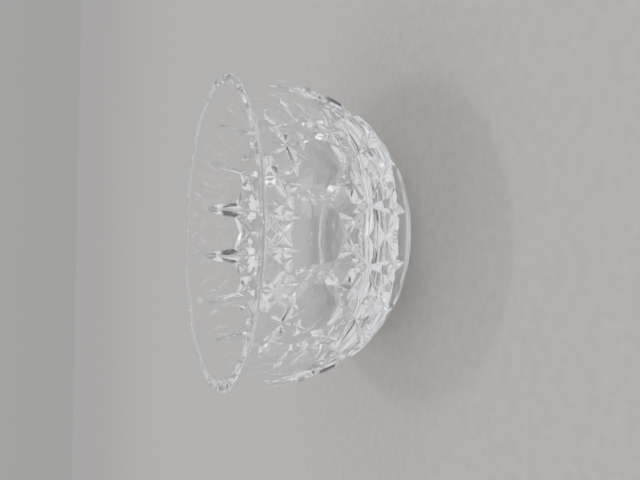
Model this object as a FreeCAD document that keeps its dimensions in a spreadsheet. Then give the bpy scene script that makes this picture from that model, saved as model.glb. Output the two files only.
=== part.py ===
import FreeCAD, Part
import math
import os
import Sketcher

# Cut-glass bowl: one solid piece of clear crystal, as a parametric document.
#
# The bowl is a blank of revolution with a flat rim and a flat base. Sixteen stars are cut around the wall.
# Each star is three V-shaped cuts of a mitre wheel that cross at one point: an upright cut and two leaning
# ones, which also cross the neighbours' leaning cuts. The bottom of a cut bends gently inwards with the
# wall, and at both ends it rises out of the glass along the round edge of the wheel.
#
# The origin is the middle of the flat base, +Z is up, and all lengths are in millimetres.

NODE = "cut_glass_bowl"

# Driving dimensions: alias, value, note. Heights are above the base.
DIMENSIONS = [
    ("rim_radius", 63.5, "outside radius at the rim"),
    ("bowl_height", 72.0, "base to rim"),
    ("rim_wall", 5.0, "wall thickness at the rim"),
    ("rim_edge", 1.0, "rounding of both edges of the rim"),
    ("shoulder_height", 56.5, "the outside is upright above this"),
    ("shoulder_curve", 77.0, "radius of the outside below the upright part"),
    ("belly_height", 18.0, "the outside curves more tightly below this"),
    ("belly_curve", 44.5, "radius of the outside down to the base"),
    ("base_edge", 2.0, "rounding between the belly and the base"),
    ("floor_height", 9.0, "thickness of the glass under the hollow"),
    ("lip_height", 59.0, "the inside is upright above this"),
    ("inner_curve", 56.0, "radius of the inside below the upright part"),
    ("inner_turn_height", 20.0, "the inside turns towards the floor below this"),
    ("star_count", 16, "stars around the wall"),
    ("star_radius", 54.4, "distance of a star's deepest point from the axis"),
    ("star_height", 30.2, "height of a star's deepest point"),
    ("upright_slope", 15.5, "degrees that the upright cut leans outwards at the star"),
    ("upright_turn", 0.0, "degrees that the upright cut is turned about the star"),
    ("upright_curve", 400.0, "radius of the upright cut's bottom, centred inside the bowl"),
    ("upright_rise", 24.0, "how far above the star the wheel starts to leave the upright cut"),
    ("upright_fall", 20.0, "how far below the star the wheel starts to leave the upright cut"),
    ("leaning_slope", 17.4, "degrees that the leaning cuts lean outwards at the star"),
    ("leaning_turn", 50.4, "degrees that a leaning cut is turned about the star"),
    ("leaning_curve", 80.0, "radius of a leaning cut's bottom, centred inside the bowl"),
    ("leaning_rise", 12.0, "how far above the star the wheel starts to leave a leaning cut"),
    ("leaning_fall", 11.0, "how far below the star the wheel starts to leave a leaning cut"),
    ("wheel_radius", 40.0, "radius of the wheel, which both ends of a cut follow"),
    ("wheel_lift", 8.0, "how far the wheel's tip moves out before a cut's path may end"),
    ("vee_angle", 90.0, "degrees between the two faces of a cut"),
    ("vee_reach", 12.0, "how far the wheel's V reaches out from its tip"),
]

START, END, CENTRE = 1, 2, 3  # the points of a sketch line or arc
X_AXIS = -1  # the sketch's own X axis
ORIGIN = (X_AXIS, 1)  # the sketch's own origin point


def add_sheet(doc):
    """Put the driving dimensions in a spreadsheet, one aliased cell a row."""
    sheet = doc.addObject("Spreadsheet::Sheet", "Dimensions")
    for row, (alias, value, note) in enumerate(DIMENSIONS, start=1):
        sheet.set(f"A{row}", alias)
        sheet.set(f"B{row}", str(value))
        sheet.set(f"C{row}", note)
        sheet.setAlias(f"B{row}", alias)
    doc.recompute()
    return sheet


def origin_item(body, role):
    """Find one of a body's own origin planes or axes by its role."""
    return next(item for item in body.Origin.OriginFeatures if item.Role == role)


def sketch_on(body, name, role):
    """Add a sketch to a body, flat on one of the body's origin planes."""
    sketch = body.newObject("Sketcher::SketchObject", name)
    sketch.AttachmentSupport = [(origin_item(body, role), "")]
    sketch.MapMode = "FlatFace"
    return sketch


def add_line(sketch, start, end):
    """Add a straight line and return its number in the sketch."""
    return sketch.addGeometry(Part.LineSegment(FreeCAD.Vector(*start, 0), FreeCAD.Vector(*end, 0)))


def add_arc(sketch, centre, radius, start, end):
    """Add an arc that turns counter-clockwise between two angles in degrees, and return its number."""
    circle = Part.Circle(FreeCAD.Vector(*centre, 0), FreeCAD.Vector(0, 0, 1), radius)
    return sketch.addGeometry(Part.ArcOfCircle(circle, math.radians(start), math.radians(end)))


def bind(sketch, kind, places, alias, unit="mm"):
    """Add a constraint that takes its value from one cell of the sheet."""
    expression = f"Dimensions.{alias} * 1 {unit}"
    guess = sketch.evalExpression(expression)
    index = sketch.addConstraint(Sketcher.Constraint(kind, *places, guess))
    sketch.setExpression(f"Constraints[{index}]", expression)


def draw_outline(sketch, sheet):
    """Draw half of the blank's section: base, outside, rim, inside, floor and axis, in that order."""
    rim_x = sheet.rim_radius
    lip_x = rim_x - sheet.rim_wall
    rim_y = sheet.bowl_height
    edge = sheet.rim_edge
    tilt = math.degrees(math.asin((sheet.shoulder_height - sheet.belly_height) / sheet.shoulder_curve))
    belly_x = rim_x - sheet.shoulder_curve * (1 - math.cos(math.radians(tilt)))
    belly_centre = (
        belly_x - sheet.belly_curve * math.cos(math.radians(tilt)),
        sheet.belly_height + sheet.belly_curve * math.sin(math.radians(tilt)),
    )
    base_tilt = math.degrees(math.asin(belly_centre[1] / sheet.belly_curve))
    base_x = belly_centre[0] + sheet.belly_curve * math.cos(math.radians(base_tilt))
    inner_tilt = math.degrees(math.asin((sheet.lip_height - sheet.inner_turn_height) / sheet.inner_curve))
    turn_x = lip_x - sheet.inner_curve * (1 - math.cos(math.radians(inner_tilt)))
    turn_drop = sheet.inner_turn_height - sheet.floor_height
    turn_curve = turn_drop / (1 - math.sin(math.radians(inner_tilt)))
    floor_x = turn_x - turn_curve * math.cos(math.radians(inner_tilt))

    base = add_line(sketch, (0, 0), (base_x, 0))
    base_edge = add_arc(sketch, (base_x, sheet.base_edge), sheet.base_edge, -90, -base_tilt)
    belly = add_arc(sketch, belly_centre, sheet.belly_curve, -base_tilt, -tilt)
    shoulder_centre = (rim_x - sheet.shoulder_curve, sheet.shoulder_height)
    shoulder = add_arc(sketch, shoulder_centre, sheet.shoulder_curve, -tilt, 0)
    side = add_line(sketch, (rim_x, sheet.shoulder_height), (rim_x, rim_y - edge))
    outer_edge = add_arc(sketch, (rim_x - edge, rim_y - edge), edge, 0, 90)
    rim = add_line(sketch, (rim_x - edge, rim_y), (lip_x + edge, rim_y))
    inner_edge = add_arc(sketch, (lip_x + edge, rim_y - edge), edge, 90, 180)
    lip = add_line(sketch, (lip_x, rim_y - edge), (lip_x, sheet.lip_height))
    inside = add_arc(sketch, (lip_x - sheet.inner_curve, sheet.lip_height), sheet.inner_curve, -inner_tilt, 0)
    turn = add_arc(sketch, (floor_x, sheet.floor_height + turn_curve), turn_curve, -90, -inner_tilt)
    floor = add_line(sketch, (floor_x, sheet.floor_height), (0, sheet.floor_height))
    axis = add_line(sketch, (0, sheet.floor_height), (0, 0))

    chain = [base, base_edge, belly, shoulder, side, outer_edge, rim, inner_edge, lip]
    smooth_joins = [(first, END, second, START) for first, second in zip(chain, chain[1:])]
    smooth_joins += [(lip, END, inside, END), (inside, START, turn, END), (turn, START, floor, START)]
    for join in smooth_joins:
        sketch.addConstraint(Sketcher.Constraint("Tangent", *join))
    for corner in [(floor, END, axis, START), (axis, END, base, START), (base, START, *ORIGIN)]:
        sketch.addConstraint(Sketcher.Constraint("Coincident", *corner))
    for line in (base, rim, floor):
        sketch.addConstraint(Sketcher.Constraint("Horizontal", line))
    for line in (side, lip, axis):
        sketch.addConstraint(Sketcher.Constraint("Vertical", line))

    bind(sketch, "DistanceX", (*ORIGIN, side, END), "rim_radius")
    bind(sketch, "DistanceX", (lip, START, side, END), "rim_wall")
    for arc, alias in [
        (base_edge, "base_edge"),
        (belly, "belly_curve"),
        (shoulder, "shoulder_curve"),
        (outer_edge, "rim_edge"),
        (inner_edge, "rim_edge"),
        (inside, "inner_curve"),
    ]:
        bind(sketch, "Radius", (arc,), alias)
    for point, alias in [
        ((belly, END), "belly_height"),
        ((shoulder, END), "shoulder_height"),
        ((rim, START), "bowl_height"),
        ((lip, END), "lip_height"),
        ((inside, START), "inner_turn_height"),
        ((floor, START), "floor_height"),
    ]:
        bind(sketch, "DistanceY", (*ORIGIN, *point), alias)


def draw_vee(sketch, sheet):
    """Draw the wheel's V: its tip on the sketch's origin, open along the sketch's X axis."""
    reach = sheet.vee_reach
    half_width = reach * math.tan(math.radians(sheet.vee_angle / 2))
    upper = add_line(sketch, (0, 0), (reach, half_width))
    back = add_line(sketch, (reach, half_width), (reach, -half_width))
    lower = add_line(sketch, (reach, -half_width), (0, 0))
    for corner in [(upper, END, back, START), (back, END, lower, START), (lower, END, upper, START)]:
        sketch.addConstraint(Sketcher.Constraint("Coincident", *corner))
    sketch.addConstraint(Sketcher.Constraint("Coincident", upper, START, *ORIGIN))
    sketch.addConstraint(Sketcher.Constraint("Vertical", back))
    sketch.addConstraint(Sketcher.Constraint("Equal", upper, lower))
    bind(sketch, "DistanceX", (*ORIGIN, back, START), "vee_reach")
    bind(sketch, "Angle", (lower, END, upper, START), "vee_angle", "deg")


def add_blank(body, sheet):
    """Turn the section about the body's Z axis into the uncut bowl."""
    outline = sketch_on(body, "BlankOutline", "XZ_Plane")
    draw_outline(outline, sheet)
    blank = body.newObject("PartDesign::Revolution", "Blank")
    blank.Profile = outline
    blank.ReferenceAxis = (origin_item(body, "Z_Axis"), [""])
    blank.Angle = 360
    return blank


def draw_path(sketch, sheet, cut):
    """Draw the path of the wheel's tip: in along the wheel, along the bent bottom, out along the wheel."""
    curve, rise, fall = (sheet.getPropertyByName(f"{cut}_{word}") for word in ("curve", "rise", "fall"))
    wheel = sheet.wheel_radius
    ends = []
    for reach in (rise, -fall):
        bend = math.asin(reach / curve)
        wheel_x = (curve + wheel) * math.cos(bend) - curve
        wheel_y = (curve + wheel) * math.sin(bend)
        leave = math.acos((wheel_x - sheet.wheel_lift) / wheel)
        ends.append(((wheel_x, wheel_y), math.degrees(bend), math.degrees(leave)))
    (upper_wheel, upper_bend, upper_leave), (lower_wheel, lower_bend, lower_leave) = ends

    run_in = add_arc(sketch, lower_wheel, wheel, 180 + lower_bend, 180 + lower_leave)
    bottom = add_arc(sketch, (-curve, 0), curve, lower_bend, upper_bend)
    run_out = add_arc(sketch, upper_wheel, wheel, 180 - upper_leave, 180 + upper_bend)
    sketch.addConstraint(Sketcher.Constraint("PointOnObject", bottom, CENTRE, X_AXIS))
    sketch.addConstraint(Sketcher.Constraint("Tangent", bottom, START, run_in, START))
    sketch.addConstraint(Sketcher.Constraint("Tangent", bottom, END, run_out, END))
    bind(sketch, "Radius", (bottom,), f"{cut}_curve")
    bind(sketch, "Radius", (run_in,), "wheel_radius")
    bind(sketch, "Radius", (run_out,), "wheel_radius")
    bind(sketch, "DistanceX", (bottom, CENTRE, *ORIGIN), f"{cut}_curve")
    bind(sketch, "DistanceX", (*ORIGIN, run_in, END), "wheel_lift")
    bind(sketch, "DistanceX", (*ORIGIN, run_out, START), "wheel_lift")
    bind(sketch, "DistanceY", (bottom, START, *ORIGIN), f"{cut}_fall")
    bind(sketch, "DistanceY", (*ORIGIN, bottom, END), f"{cut}_rise")


def place_at_star(sketch, cut, side, quarter):
    """Put a sketch at the first star's deepest point, turned the way that the cut points."""
    # The first star stands half a step from the X axis, so that a crossing lies on the axis.
    azimuth = "(180 / Dimensions.star_count)"
    across = f"Dimensions.star_radius * cos{azimuth}; Dimensions.star_radius * sin{azimuth}"
    turn = f"{side} * Dimensions.{cut}_turn + {quarter}"
    sketch.setExpression(
        "AttachmentOffset",
        f"placement(vector({across}; Dimensions.star_height);"
        f" rotation({azimuth}; Dimensions.{cut}_slope; {turn}))",
    )


def add_cut(body, sheet, name, cut, side):
    """Sweep the V along one cut's path; side 1 or -1 turns the cut to one side of upright or the other."""
    vee = sketch_on(body, f"{name}Vee", "XY_Plane")
    place_at_star(vee, cut, side, quarter=0)
    draw_vee(vee, sheet)
    path = sketch_on(body, f"{name}Path", "XY_Plane")
    place_at_star(path, cut, side, quarter=90)
    draw_path(path, sheet, cut)
    sweep = body.newObject("PartDesign::SubtractivePipe", name)
    sweep.Profile = vee
    sweep.Spine = (path, ["Edge1", "Edge2", "Edge3"])
    return sweep


def add_stars(body, cuts):
    """Repeat one star's cuts around the bowl."""
    stars = body.newObject("PartDesign::PolarPattern", "Stars")
    stars.Originals = cuts
    stars.Axis = (origin_item(body, "Z_Axis"), [""])
    stars.Angle = 360
    stars.setExpression("Occurrences", "Dimensions.star_count")
    body.Tip = stars
    return stars


def build_bowl(doc, sheet):
    """Model the bowl as one body: the blank, one star's three cuts, and their repeats."""
    body = doc.addObject("PartDesign::Body", "Bowl")
    body.Label = NODE
    body.Placement = FreeCAD.Placement()
    add_blank(body, sheet)
    doc.recompute()
    cuts = [
        add_cut(body, sheet, "UprightCut", "upright", 1),
        add_cut(body, sheet, "LeftCut", "leaning", 1),
        add_cut(body, sheet, "RightCut", "leaning", -1),
    ]
    doc.recompute()
    add_stars(body, cuts)
    doc.recompute()
    return body


def check(doc, body):
    """Stop if anything failed to compute, or if a cut removed no glass."""
    for item in doc.Objects:
        if "Invalid" in item.State or "Error" in item.State:
            raise RuntimeError(f"{item.Name} did not compute: {item.State}")
    for item in doc.findObjects("Sketcher::SketchObject"):
        if not item.FullyConstrained:
            raise RuntimeError(f"{item.Name} is not fully constrained")
    shape = body.Shape
    if shape.isNull() or not shape.isValid() or len(shape.Solids) != 1:
        raise RuntimeError(f"{body.Label} is not one valid solid")
    steps = ("Blank", "UprightCut", "LeftCut", "RightCut", "Stars")
    volumes = [doc.getObject(name).Shape.Volume for name in steps]
    if any(later >= earlier for earlier, later in zip(volumes, volumes[1:])):
        raise RuntimeError(f"a cut removed nothing: {volumes}")
    print("volumes, cubic mm:", [round(volume) for volume in volumes])
    print("bounding box:", shape.BoundBox)


def main():
    doc = FreeCAD.newDocument("CutGlassBowl")
    sheet = add_sheet(doc)
    body = build_bowl(doc, sheet)
    check(doc, body)
    os.makedirs("parts", exist_ok=True)
    body.Shape.exportStep(f"parts/{body.Label}.step")


main()
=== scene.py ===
import bpy
import bmesh
import math
from mathutils import Matrix, Vector


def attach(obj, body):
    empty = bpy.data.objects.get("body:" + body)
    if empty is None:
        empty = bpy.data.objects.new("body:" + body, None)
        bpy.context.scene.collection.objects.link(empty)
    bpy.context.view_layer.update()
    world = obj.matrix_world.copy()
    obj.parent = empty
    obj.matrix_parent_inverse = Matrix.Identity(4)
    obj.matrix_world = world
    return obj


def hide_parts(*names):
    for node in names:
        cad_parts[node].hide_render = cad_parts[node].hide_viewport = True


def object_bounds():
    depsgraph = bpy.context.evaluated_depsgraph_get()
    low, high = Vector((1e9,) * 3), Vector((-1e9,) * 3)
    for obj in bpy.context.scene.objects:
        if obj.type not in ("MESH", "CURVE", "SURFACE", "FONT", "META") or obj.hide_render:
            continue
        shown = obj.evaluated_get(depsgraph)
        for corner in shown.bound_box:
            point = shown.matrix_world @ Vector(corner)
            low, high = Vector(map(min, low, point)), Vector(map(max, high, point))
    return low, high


# A cut-glass bowl: one piece of clear crystal with sixteen stars cut around its wall.
#
# The bowl is turned from its outline and carved by forty-eight sweeps of a mitre wheel's V. Lengths are in
# metres, the bowl's base rests at height 0 and its axis is the Z axis.

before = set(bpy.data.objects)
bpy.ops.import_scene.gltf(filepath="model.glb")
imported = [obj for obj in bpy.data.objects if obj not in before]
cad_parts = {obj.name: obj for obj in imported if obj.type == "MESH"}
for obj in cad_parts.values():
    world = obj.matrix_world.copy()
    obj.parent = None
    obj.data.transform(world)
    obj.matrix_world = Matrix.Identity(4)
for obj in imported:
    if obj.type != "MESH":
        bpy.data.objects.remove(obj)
cad_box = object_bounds()

NODE = "cut_glass_bowl"
MM = 0.001
low, high = cad_box
RIM_RADIUS = (high.x - low.x) / 2
HEIGHT = high.z

# The wall, from the rim down. Heights are above the base.
RIM_WALL = 5 * MM
RIM_EDGE = 1 * MM
SHOULDER_HEIGHT = 56.5 * MM
SHOULDER_CURVE = 77 * MM
BELLY_HEIGHT = 18 * MM
BELLY_CURVE = 44.5 * MM
BASE_EDGE = 2 * MM
FLOOR_HEIGHT = 9 * MM  # of the hollow
LIP_HEIGHT = 59 * MM
INNER_CURVE = 56 * MM
INNER_TURN_HEIGHT = 20 * MM

# The stars. Every cut passes through a star's deepest point. Slopes and turns are in degrees.
STAR_COUNT = 16
STAR_RADIUS = 54.4 * MM
STAR_HEIGHT = 30.2 * MM
VEE_ANGLE = math.radians(90)
VEE_REACH = 12 * MM
TIP_WIDTH = 0.25 * MM  # the wheel's worn tip, which leaves a narrow flat along the bottom of a cut
WHEEL_RADIUS = 40 * MM
WHEEL_LIFT = 8 * MM
UPRIGHT = {"slope": 15.5, "turn": 0, "curve": 400 * MM, "rise": 24 * MM, "fall": 20 * MM}
LEANING = {"slope": 17.4, "turn": 50.4, "curve": 80 * MM, "rise": 12 * MM, "fall": 11 * MM}

# How finely the surfaces are divided.
SEGMENTS = 192
OUTLINE_STEP = 2 * MM
EDGE_STEP = 0.2 * MM
PATH_TURN = math.radians(3)
SHARP_ANGLE = math.radians(14)  # faces that meet at more than this are shaded apart

NOTHING = MM / 1000  # lengths shorter than this are taken as none

# The crystal's finish.
CRYSTAL_TINT = (0.985, 0.992, 1, 1)
CRYSTAL_IOR = 1.545
SMEAR_SIZE = 14 * MM
SCRATCH_SIZE = 0.6 * MM
SCRATCH_ROUGHNESS = 0.35
DIMPLE_SIZE = 2.2 * MM
DIMPLE_DEPTH = 0.12 * MM
WEAR_RADIUS = 31 * MM  # the base is scuffed outside this


# ---- the bowl's shape ----------------------------------------------------------------------------------


def arc(centre, radius, start, end, step):
    """Points (radius, height) along an arc from one angle to another, about one step apart."""
    count = max(2, math.ceil(radius * abs(end - start) / step))
    angles = [start + (end - start) * i / count for i in range(count + 1)]
    return [(centre[0] + radius * math.cos(a), centre[1] + radius * math.sin(a)) for a in angles]


def line(start, end, step):
    """Points along a straight line, about one step apart."""
    count = max(1, math.ceil(math.dist(start, end) / step))
    return [tuple(Vector(start).lerp(Vector(end), i / count)) for i in range(count + 1)]


def outline():
    """Half of the bowl's section: base, outside, rim, inside and floor."""
    tilt = math.asin((SHOULDER_HEIGHT - BELLY_HEIGHT) / SHOULDER_CURVE)
    belly_x = RIM_RADIUS - SHOULDER_CURVE * (1 - math.cos(tilt))
    belly_centre = (belly_x - BELLY_CURVE * math.cos(tilt), BELLY_HEIGHT + BELLY_CURVE * math.sin(tilt))
    base_drop = belly_centre[1] - BASE_EDGE
    base_x = belly_centre[0] + math.sqrt((BELLY_CURVE - BASE_EDGE) ** 2 - base_drop**2)
    base_tilt = math.asin(base_drop / (BELLY_CURVE - BASE_EDGE))
    inner_tilt = math.asin((LIP_HEIGHT - INNER_TURN_HEIGHT) / INNER_CURVE)
    lip_x = RIM_RADIUS - RIM_WALL
    turn_x = lip_x - INNER_CURVE * (1 - math.cos(inner_tilt))
    turn_curve = (INNER_TURN_HEIGHT - FLOOR_HEIGHT) / (1 - math.sin(inner_tilt))
    floor_x = turn_x - turn_curve * math.cos(inner_tilt)
    edge_height = HEIGHT - RIM_EDGE
    quarter = math.pi / 2
    runs = [
        line((0, 0), (base_x, 0), 3 * OUTLINE_STEP),
        arc((base_x, BASE_EDGE), BASE_EDGE, -quarter, -base_tilt, EDGE_STEP),
        arc(belly_centre, BELLY_CURVE, -base_tilt, -tilt, OUTLINE_STEP),
        arc((RIM_RADIUS - SHOULDER_CURVE, SHOULDER_HEIGHT), SHOULDER_CURVE, -tilt, 0, OUTLINE_STEP),
        line((RIM_RADIUS, SHOULDER_HEIGHT), (RIM_RADIUS, edge_height), OUTLINE_STEP),
        arc((RIM_RADIUS - RIM_EDGE, edge_height), RIM_EDGE, 0, quarter, EDGE_STEP),
        line((RIM_RADIUS - RIM_EDGE, HEIGHT), (lip_x + RIM_EDGE, HEIGHT), OUTLINE_STEP),
        arc((lip_x + RIM_EDGE, edge_height), RIM_EDGE, quarter, 2 * quarter, EDGE_STEP),
        line((lip_x, edge_height), (lip_x, LIP_HEIGHT), OUTLINE_STEP),
        arc((lip_x - INNER_CURVE, LIP_HEIGHT), INNER_CURVE, 0, -inner_tilt, OUTLINE_STEP),
        arc((floor_x, FLOOR_HEIGHT + turn_curve), turn_curve, -inner_tilt, -quarter, OUTLINE_STEP),
        line((floor_x, FLOOR_HEIGHT), (0, FLOOR_HEIGHT), 2 * OUTLINE_STEP),
    ]
    points = [runs[0][0]]
    for run in runs:
        points += [point for point in run if math.dist(point, points[-1]) > NOTHING]
    return points


def mesh_object(name, verts, faces):
    """Make an object from corners and faces, with every face turned outwards."""
    mesh = bpy.data.meshes.new(name)
    mesh.from_pydata(verts, [], faces)
    solid = bmesh.new()
    solid.from_mesh(mesh)
    bmesh.ops.recalc_face_normals(solid, faces=solid.faces)
    solid.to_mesh(mesh)
    solid.free()
    thing = bpy.data.objects.new(name, mesh)
    bpy.context.scene.collection.objects.link(thing)
    return thing


def turned_blank():
    """Turn the outline about the Z axis into the uncut bowl."""
    verts = []
    rows = []
    for radius, height in outline():
        count = SEGMENTS if radius > NOTHING else 1
        rows.append([len(verts) + k for k in range(count)])
        for k in range(count):
            angle = math.tau * k / SEGMENTS
            verts.append((radius * math.cos(angle), radius * math.sin(angle), height))
    faces = []
    for near, far in zip(rows, rows[1:]):
        for k in range(SEGMENTS):
            corners = [near[k % len(near)], near[(k + 1) % SEGMENTS % len(near)]]
            corners += [far[(k + 1) % SEGMENTS % len(far)], far[k % len(far)]]
            faces.append(tuple(dict.fromkeys(corners)))
    return mesh_object("blank", verts, faces)


def wheel_path(cut):
    """Where the wheel's tip goes: in along the wheel's arc, along the bent bottom and out again.

    Each step is (outward, along, bend). The first two are measured from the star's deepest point, and
    bend is how far the tip has turned from its direction there.
    """
    curve = cut["curve"]
    upper_bend = math.asin(cut["rise"] / curve)
    lower_bend = math.asin(cut["fall"] / curve)

    def wheel_centre(bend):
        reach = curve + WHEEL_RADIUS
        return reach * math.cos(bend) - curve, reach * math.sin(bend)

    def turns(start, end):
        count = math.ceil((end - start) / PATH_TURN)
        return [start + (end - start) * i / count for i in range(count + 1)]

    def along_wheel(out, up, start, end):
        wheel = WHEEL_RADIUS
        return [(out - wheel * math.cos(a), up + wheel * math.sin(a), a) for a in turns(start, end)]

    out, up = wheel_centre(lower_bend)
    path = along_wheel(out, -up, -math.acos((out - WHEEL_LIFT) / WHEEL_RADIUS), lower_bend)
    bottom = turns(-lower_bend, upper_bend)
    path += [(curve * (math.cos(a) - 1), curve * math.sin(a), -a) for a in bottom[1:-1]]
    out, up = wheel_centre(upper_bend)
    path += along_wheel(out, up, -upper_bend, math.acos((out - WHEEL_LIFT) / WHEEL_RADIUS))
    return path


def wheel_sweeps():
    """Every sweep of the wheel's V, as closed prisms in one mesh."""
    widening = math.tan(VEE_ANGLE / 2)
    ends = [(TIP_WIDTH / 2 / widening, TIP_WIDTH / 2), (VEE_REACH, VEE_REACH * widening)]
    vee = [Vector((reach, half_width, 0)) for reach, half_width in ends]
    vee += [Vector((reach, -half_width, 0)) for reach, half_width in reversed(ends)]
    verts = []
    faces = []
    for star in range(STAR_COUNT):
        azimuth = Matrix.Rotation(math.tau * (star + 0.5) / STAR_COUNT, 4, "Z")
        place = azimuth @ Matrix.Translation((STAR_RADIUS, 0, STAR_HEIGHT))
        for cut, side in ((UPRIGHT, 1), (LEANING, 1), (LEANING, -1)):
            slope = Matrix.Rotation(math.radians(cut["slope"]), 4, "Y")
            turn = Matrix.Rotation(math.radians(side * cut["turn"]), 4, "X")
            path = wheel_path(cut)
            first = len(verts)
            for outward, along, bend in path:
                section = Matrix.Translation((outward, 0, along)) @ Matrix.Rotation(bend, 4, "Y")
                verts += [place @ slope @ turn @ section @ corner for corner in vee]
            last = len(verts) - len(vee)
            faces += [tuple(range(first, first + len(vee))), tuple(range(last, len(verts)))]
            for start in range(first, last, len(vee)):
                for a in range(len(vee)):
                    b = (a + 1) % len(vee)
                    faces.append((start + a, start + b, start + b + len(vee), start + a + len(vee)))
    return mesh_object("sweeps", verts, faces)


def baked(thing):
    """The object's mesh with its modifiers applied; the object itself is removed."""
    seen = thing.evaluated_get(bpy.context.evaluated_depsgraph_get())
    mesh = bpy.data.meshes.new_from_object(seen)
    bpy.data.objects.remove(thing)
    return mesh


def close_short_edges(mesh):
    """Close up the edges, too short to see, that are left where cuts cross."""
    solid = bmesh.new()
    solid.from_mesh(mesh)
    bmesh.ops.dissolve_degenerate(solid, dist=NOTHING, edges=solid.edges)
    solid.to_mesh(mesh)
    solid.free()


def carved_bowl(polished, wheel_cut):
    """Cut the stars into the blank. Their faces take the second material."""
    blank = turned_blank()
    blank.data.materials.append(polished)
    sweeps = wheel_sweeps()
    sweeps.data.materials.append(wheel_cut)
    cuts = blank.modifiers.new("cuts", "BOOLEAN")
    cuts.operation = "DIFFERENCE"
    cuts.solver = "EXACT"
    cuts.use_self = True
    cuts.material_mode = "TRANSFER"
    cuts.object = sweeps
    mesh = baked(blank)
    bpy.data.objects.remove(sweeps)
    close_short_edges(mesh)
    mesh.shade_smooth()
    mesh.set_sharp_from_angle(angle=SHARP_ANGLE)
    bowl = bpy.data.objects.new("crystal_bowl", mesh)
    bpy.context.scene.collection.objects.link(bowl)
    return bowl


# ---- the crystal ---------------------------------------------------------------------------------------


def new_material(name):
    """A material with a Principled surface: its node tree and that surface's node."""
    material = bpy.data.materials.new(name)
    material.use_nodes = True
    return material, material.node_tree, material.node_tree.nodes["Principled BSDF"]


def noise(tree, place, size, detail=2.0):
    """Cloudy noise whose lumps are about one size across."""
    node = tree.nodes.new("ShaderNodeTexNoise")
    node.inputs["Scale"].default_value = 1 / size
    node.inputs["Detail"].default_value = detail
    tree.links.new(place, node.inputs["Vector"])
    return node.outputs["Fac"]


def ramp(tree, value, start, end, low_value, high_value):
    """A value that moves from one level to another while its input moves from start to end."""
    node = tree.nodes.new("ShaderNodeMapRange")
    settings = {"From Min": start, "From Max": end, "To Min": low_value, "To Max": high_value}
    for name, setting in settings.items():
        node.inputs[name].default_value = setting
    tree.links.new(value, node.inputs["Value"])
    return node.outputs["Result"]


def joined(tree, first, second, operation):
    """Two values joined by one arithmetic step."""
    node = tree.nodes.new("ShaderNodeMath")
    node.operation = operation
    tree.links.new(first, node.inputs[0])
    tree.links.new(second, node.inputs[1])
    return node.outputs[0]


def bump(tree, height, depth, under=None):
    """A bumpy surface direction, with heights of up to the depth given."""
    node = tree.nodes.new("ShaderNodeBump")
    node.inputs["Strength"].default_value = 1
    node.inputs["Distance"].default_value = depth
    tree.links.new(height, node.inputs["Height"])
    if under:
        tree.links.new(under, node.inputs["Normal"])
    return node.outputs["Normal"]


def crystal(name, wave_size, wave_depth, grain_size, grain_depth, smear):
    """Clear lead crystal with slow waves, a fine grain, faint smears, a dimpled rim and a scuffed base."""
    material, tree, surface = new_material(name)
    surface.inputs["Base Color"].default_value = CRYSTAL_TINT
    surface.inputs["IOR"].default_value = CRYSTAL_IOR
    surface.inputs["Transmission Weight"].default_value = 1
    place = tree.nodes.new("ShaderNodeTexCoord").outputs["Object"]
    split = tree.nodes.new("ShaderNodeSeparateXYZ")
    tree.links.new(place, split.inputs["Vector"])
    height = split.outputs["Z"]

    smears = ramp(tree, noise(tree, place, SMEAR_SIZE), 0.45, 0.75, 0, smear)
    scratches = ramp(tree, noise(tree, place, SCRATCH_SIZE, 4), 0.35, 0.65, 0, SCRATCH_ROUGHNESS)
    across = tree.nodes.new("ShaderNodeVectorMath")
    across.operation = "LENGTH"
    tree.links.new(place, across.inputs[0])
    at_base = ramp(tree, height, 0.02 * MM, 0.3 * MM, 1, 0)
    at_ring = ramp(tree, across.outputs["Value"], WEAR_RADIUS - 1.5 * MM, WEAR_RADIUS, 0, 1)
    worn = joined(tree, scratches, joined(tree, at_base, at_ring, "MULTIPLY"), "MULTIPLY")
    tree.links.new(joined(tree, smears, worn, "ADD"), surface.inputs["Roughness"])

    waves = bump(tree, noise(tree, place, wave_size), wave_depth)
    grain = bump(tree, noise(tree, place, grain_size), grain_depth, waves)
    dimples = noise(tree, place, DIMPLE_SIZE, 1)
    at_rim = ramp(tree, height, HEIGHT - 1.2 * MM, HEIGHT - 0.2 * MM, 0, 1)
    mottled = bump(tree, joined(tree, dimples, at_rim, "MULTIPLY"), DIMPLE_DEPTH, grain)
    tree.links.new(mottled, surface.inputs["Normal"])
    return material


# ---- the studio ----------------------------------------------------------------------------------------


TABLE_REACH = 12  # metres, so that its edge is far off
TABLE_GAP = 0.3 * MM  # between the bowl's base and the table
TABLE_TONES = (0.23, 0.27)
TABLE_TINT = {"Red": 1.08, "Green": 1.0, "Blue": 0.9}


def add_floor():
    """A wide pale table top, just under the bowl's base."""
    reach = TABLE_REACH
    corners = [(-reach, -reach, 0), (reach, -reach, 0), (reach, reach, 0), (-reach, reach, 0)]
    floor = mesh_object("floor", corners, [(0, 1, 2, 3)])
    floor.location.z = -TABLE_GAP
    material, tree, surface = new_material("pale table")
    place = tree.nodes.new("ShaderNodeTexCoord").outputs["Object"]
    shade = ramp(tree, noise(tree, place, 4 * MM, 5), 0.3, 0.7, *TABLE_TONES)
    tint = tree.nodes.new("ShaderNodeCombineColor")
    for channel, strength in TABLE_TINT.items():
        scaled = ramp(tree, shade, 0, 1, 0, strength)
        tree.links.new(scaled, tint.inputs[channel])
    tree.links.new(tint.outputs["Color"], surface.inputs["Base Color"])
    surface.inputs["Roughness"].default_value = 0.6
    tree.links.new(bump(tree, noise(tree, place, 1.5 * MM, 4), 0.05 * MM), surface.inputs["Normal"])
    floor.data.materials.append(material)


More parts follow.
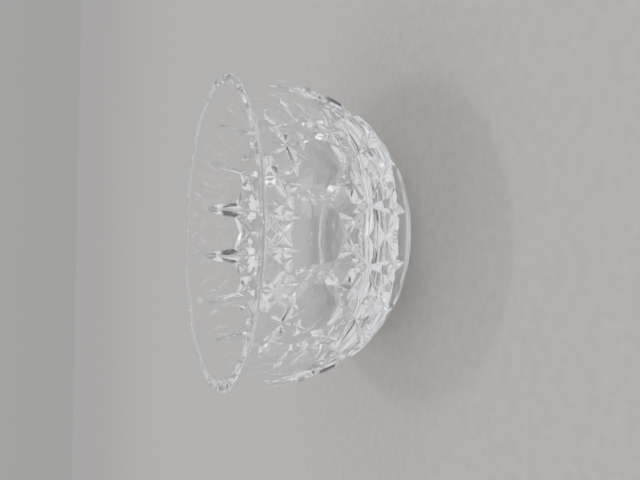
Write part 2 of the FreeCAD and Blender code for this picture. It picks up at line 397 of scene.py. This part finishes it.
def add_lamp(name, place, size, watts):
    """A rectangular lamp aimed at the bowl."""
    data = bpy.data.lights.new(name, "AREA")
    data.shape = "RECTANGLE"
    data.size, data.size_y = size
    data.energy = watts
    lamp = bpy.data.objects.new(name, data)
    bpy.context.scene.collection.objects.link(lamp)
    lamp.location = place
    aim = Vector((0, 0, HEIGHT / 2)) - lamp.location
    lamp.rotation_euler = aim.to_track_quat("-Z", "Y").to_euler()


def add_lights():
    """Two small lamps high behind the bowl, and soft boxes over it and beside it."""
    add_lamp("lamp left", place=(-0.01, 0.55, 1.6), size=(0.06, 0.06), watts=4)
    add_lamp("lamp right", place=(0.1, 0.55, 1.6), size=(0.06, 0.06), watts=4)
    add_lamp("soft box above", place=(-0.6, 0.2, 1.3), size=(0.7, 0.7), watts=6)
    add_lamp("soft box beside", place=(1.1, -0.3, 0.7), size=(0.3, 0.9), watts=5)


# What the bowl sees around it: the sine of the height above the horizon, and the light's colour there.
SURROUNDINGS = [
    (0.0, (0.42, 0.42, 0.41)),  # a pale wall
    (0.25, (0.46, 0.46, 0.45)),
    (0.28, (0.1, 0.1, 0.11)),  # the dark upper part of the room
    (0.36, (0.12, 0.12, 0.14)),
    (0.4, (0.52, 0.38, 0.29)),  # a warm and a cool fringe, as where crystal splits light
    (0.44, (0.84, 0.8, 1.12)),
    (0.5, (1.75, 1.8, 1.9)),  # a bright ceiling
    (1.0, (1.85, 1.9, 2.0)),
]


def add_world():
    """A plain room: pale walls, a dark band above them and a bright ceiling."""
    world = bpy.data.worlds.new("studio")
    bpy.context.scene.world = world
    world.use_nodes = True
    tree = world.node_tree
    split = tree.nodes.new("ShaderNodeSeparateXYZ")
    tree.links.new(tree.nodes.new("ShaderNodeTexCoord").outputs["Generated"], split.inputs["Vector"])
    bands = tree.nodes.new("ShaderNodeValToRGB")
    stops = bands.color_ramp.elements
    while len(stops) < len(SURROUNDINGS):
        stops.new(1)
    for stop, (sine, colour) in zip(stops, SURROUNDINGS):
        stop.position = sine
        stop.color = (*colour, 1)
    tree.links.new(split.outputs["Z"], bands.inputs["Fac"])
    tree.links.new(bands.outputs["Color"], tree.nodes["Background"].inputs["Color"])


def turned(first, second, angle):
    """Two directions at right angles, with the first turned towards the second by an angle."""
    cosine = math.cos(angle)
    sine = math.sin(angle)
    return first * cosine + second * sine, second * cosine - first * sine


# The camera's distance and elevation are from the middle of the rim. It looks down a little further than
# that, and is held a quarter turn round.
CAMERA_DISTANCE = 3.696 * RIM_RADIUS
CAMERA_ELEVATION = math.radians(13.266)
CAMERA_PITCH = math.radians(10.587)
CAMERA_YAW = math.radians(-0.490)
CAMERA_ROLL = math.radians(1.373)
CAMERA_LENS = 31.87  # millimetres
CAMERA_SENSOR = 36  # millimetres across


def add_camera():
    """Look at the bowl from a little above its rim, with the picture turned a quarter turn."""
    distance = CAMERA_DISTANCE
    elevation = CAMERA_ELEVATION
    place = Vector((0, -distance * math.cos(elevation), HEIGHT + distance * math.sin(elevation)))
    ahead = Vector((0, math.cos(elevation), -math.sin(elevation)))
    right = Vector((1, 0, 0))
    up = right.cross(ahead)
    ahead, up = turned(ahead, up, -CAMERA_PITCH)
    ahead, right = turned(ahead, right, CAMERA_YAW)
    right, up = turned(right, up, CAMERA_ROLL)
    data = bpy.data.cameras.new("camera")
    data.sensor_width = CAMERA_SENSOR
    data.lens = CAMERA_LENS
    data.clip_start = 0.01
    camera = bpy.data.objects.new("camera", data)
    bpy.context.scene.collection.objects.link(camera)
    camera.matrix_world = Matrix.Translation(place) @ Matrix((-up, right, -ahead)).transposed().to_4x4()
    bpy.context.scene.camera = camera


GLASS_BOUNCES = 40
MIRROR_BOUNCES = 20


def let_light_through():
    """Follow light through the many faces of the cut glass."""
    cycles = bpy.context.scene.cycles
    cycles.max_bounces = GLASS_BOUNCES
    cycles.transmission_bounces = GLASS_BOUNCES
    cycles.glossy_bounces = MIRROR_BOUNCES
    cycles.caustics_reflective = True
    cycles.caustics_refractive = True


polished = crystal(
    "polished crystal",
    wave_size=9 * MM,
    wave_depth=0.025 * MM,
    grain_size=2 * MM,
    grain_depth=0.001 * MM,
    smear=0.02,
)
wheel_cut = crystal(
    "wheel-cut crystal",
    wave_size=5 * MM,
    wave_depth=0.006 * MM,
    grain_size=0.7 * MM,
    grain_depth=0.0005 * MM,
    smear=0.01,
)
bowl = carved_bowl(polished, wheel_cut)
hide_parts(NODE)
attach(bowl, "root")
add_floor()
add_lights()
add_world()
add_camera()
let_light_through()
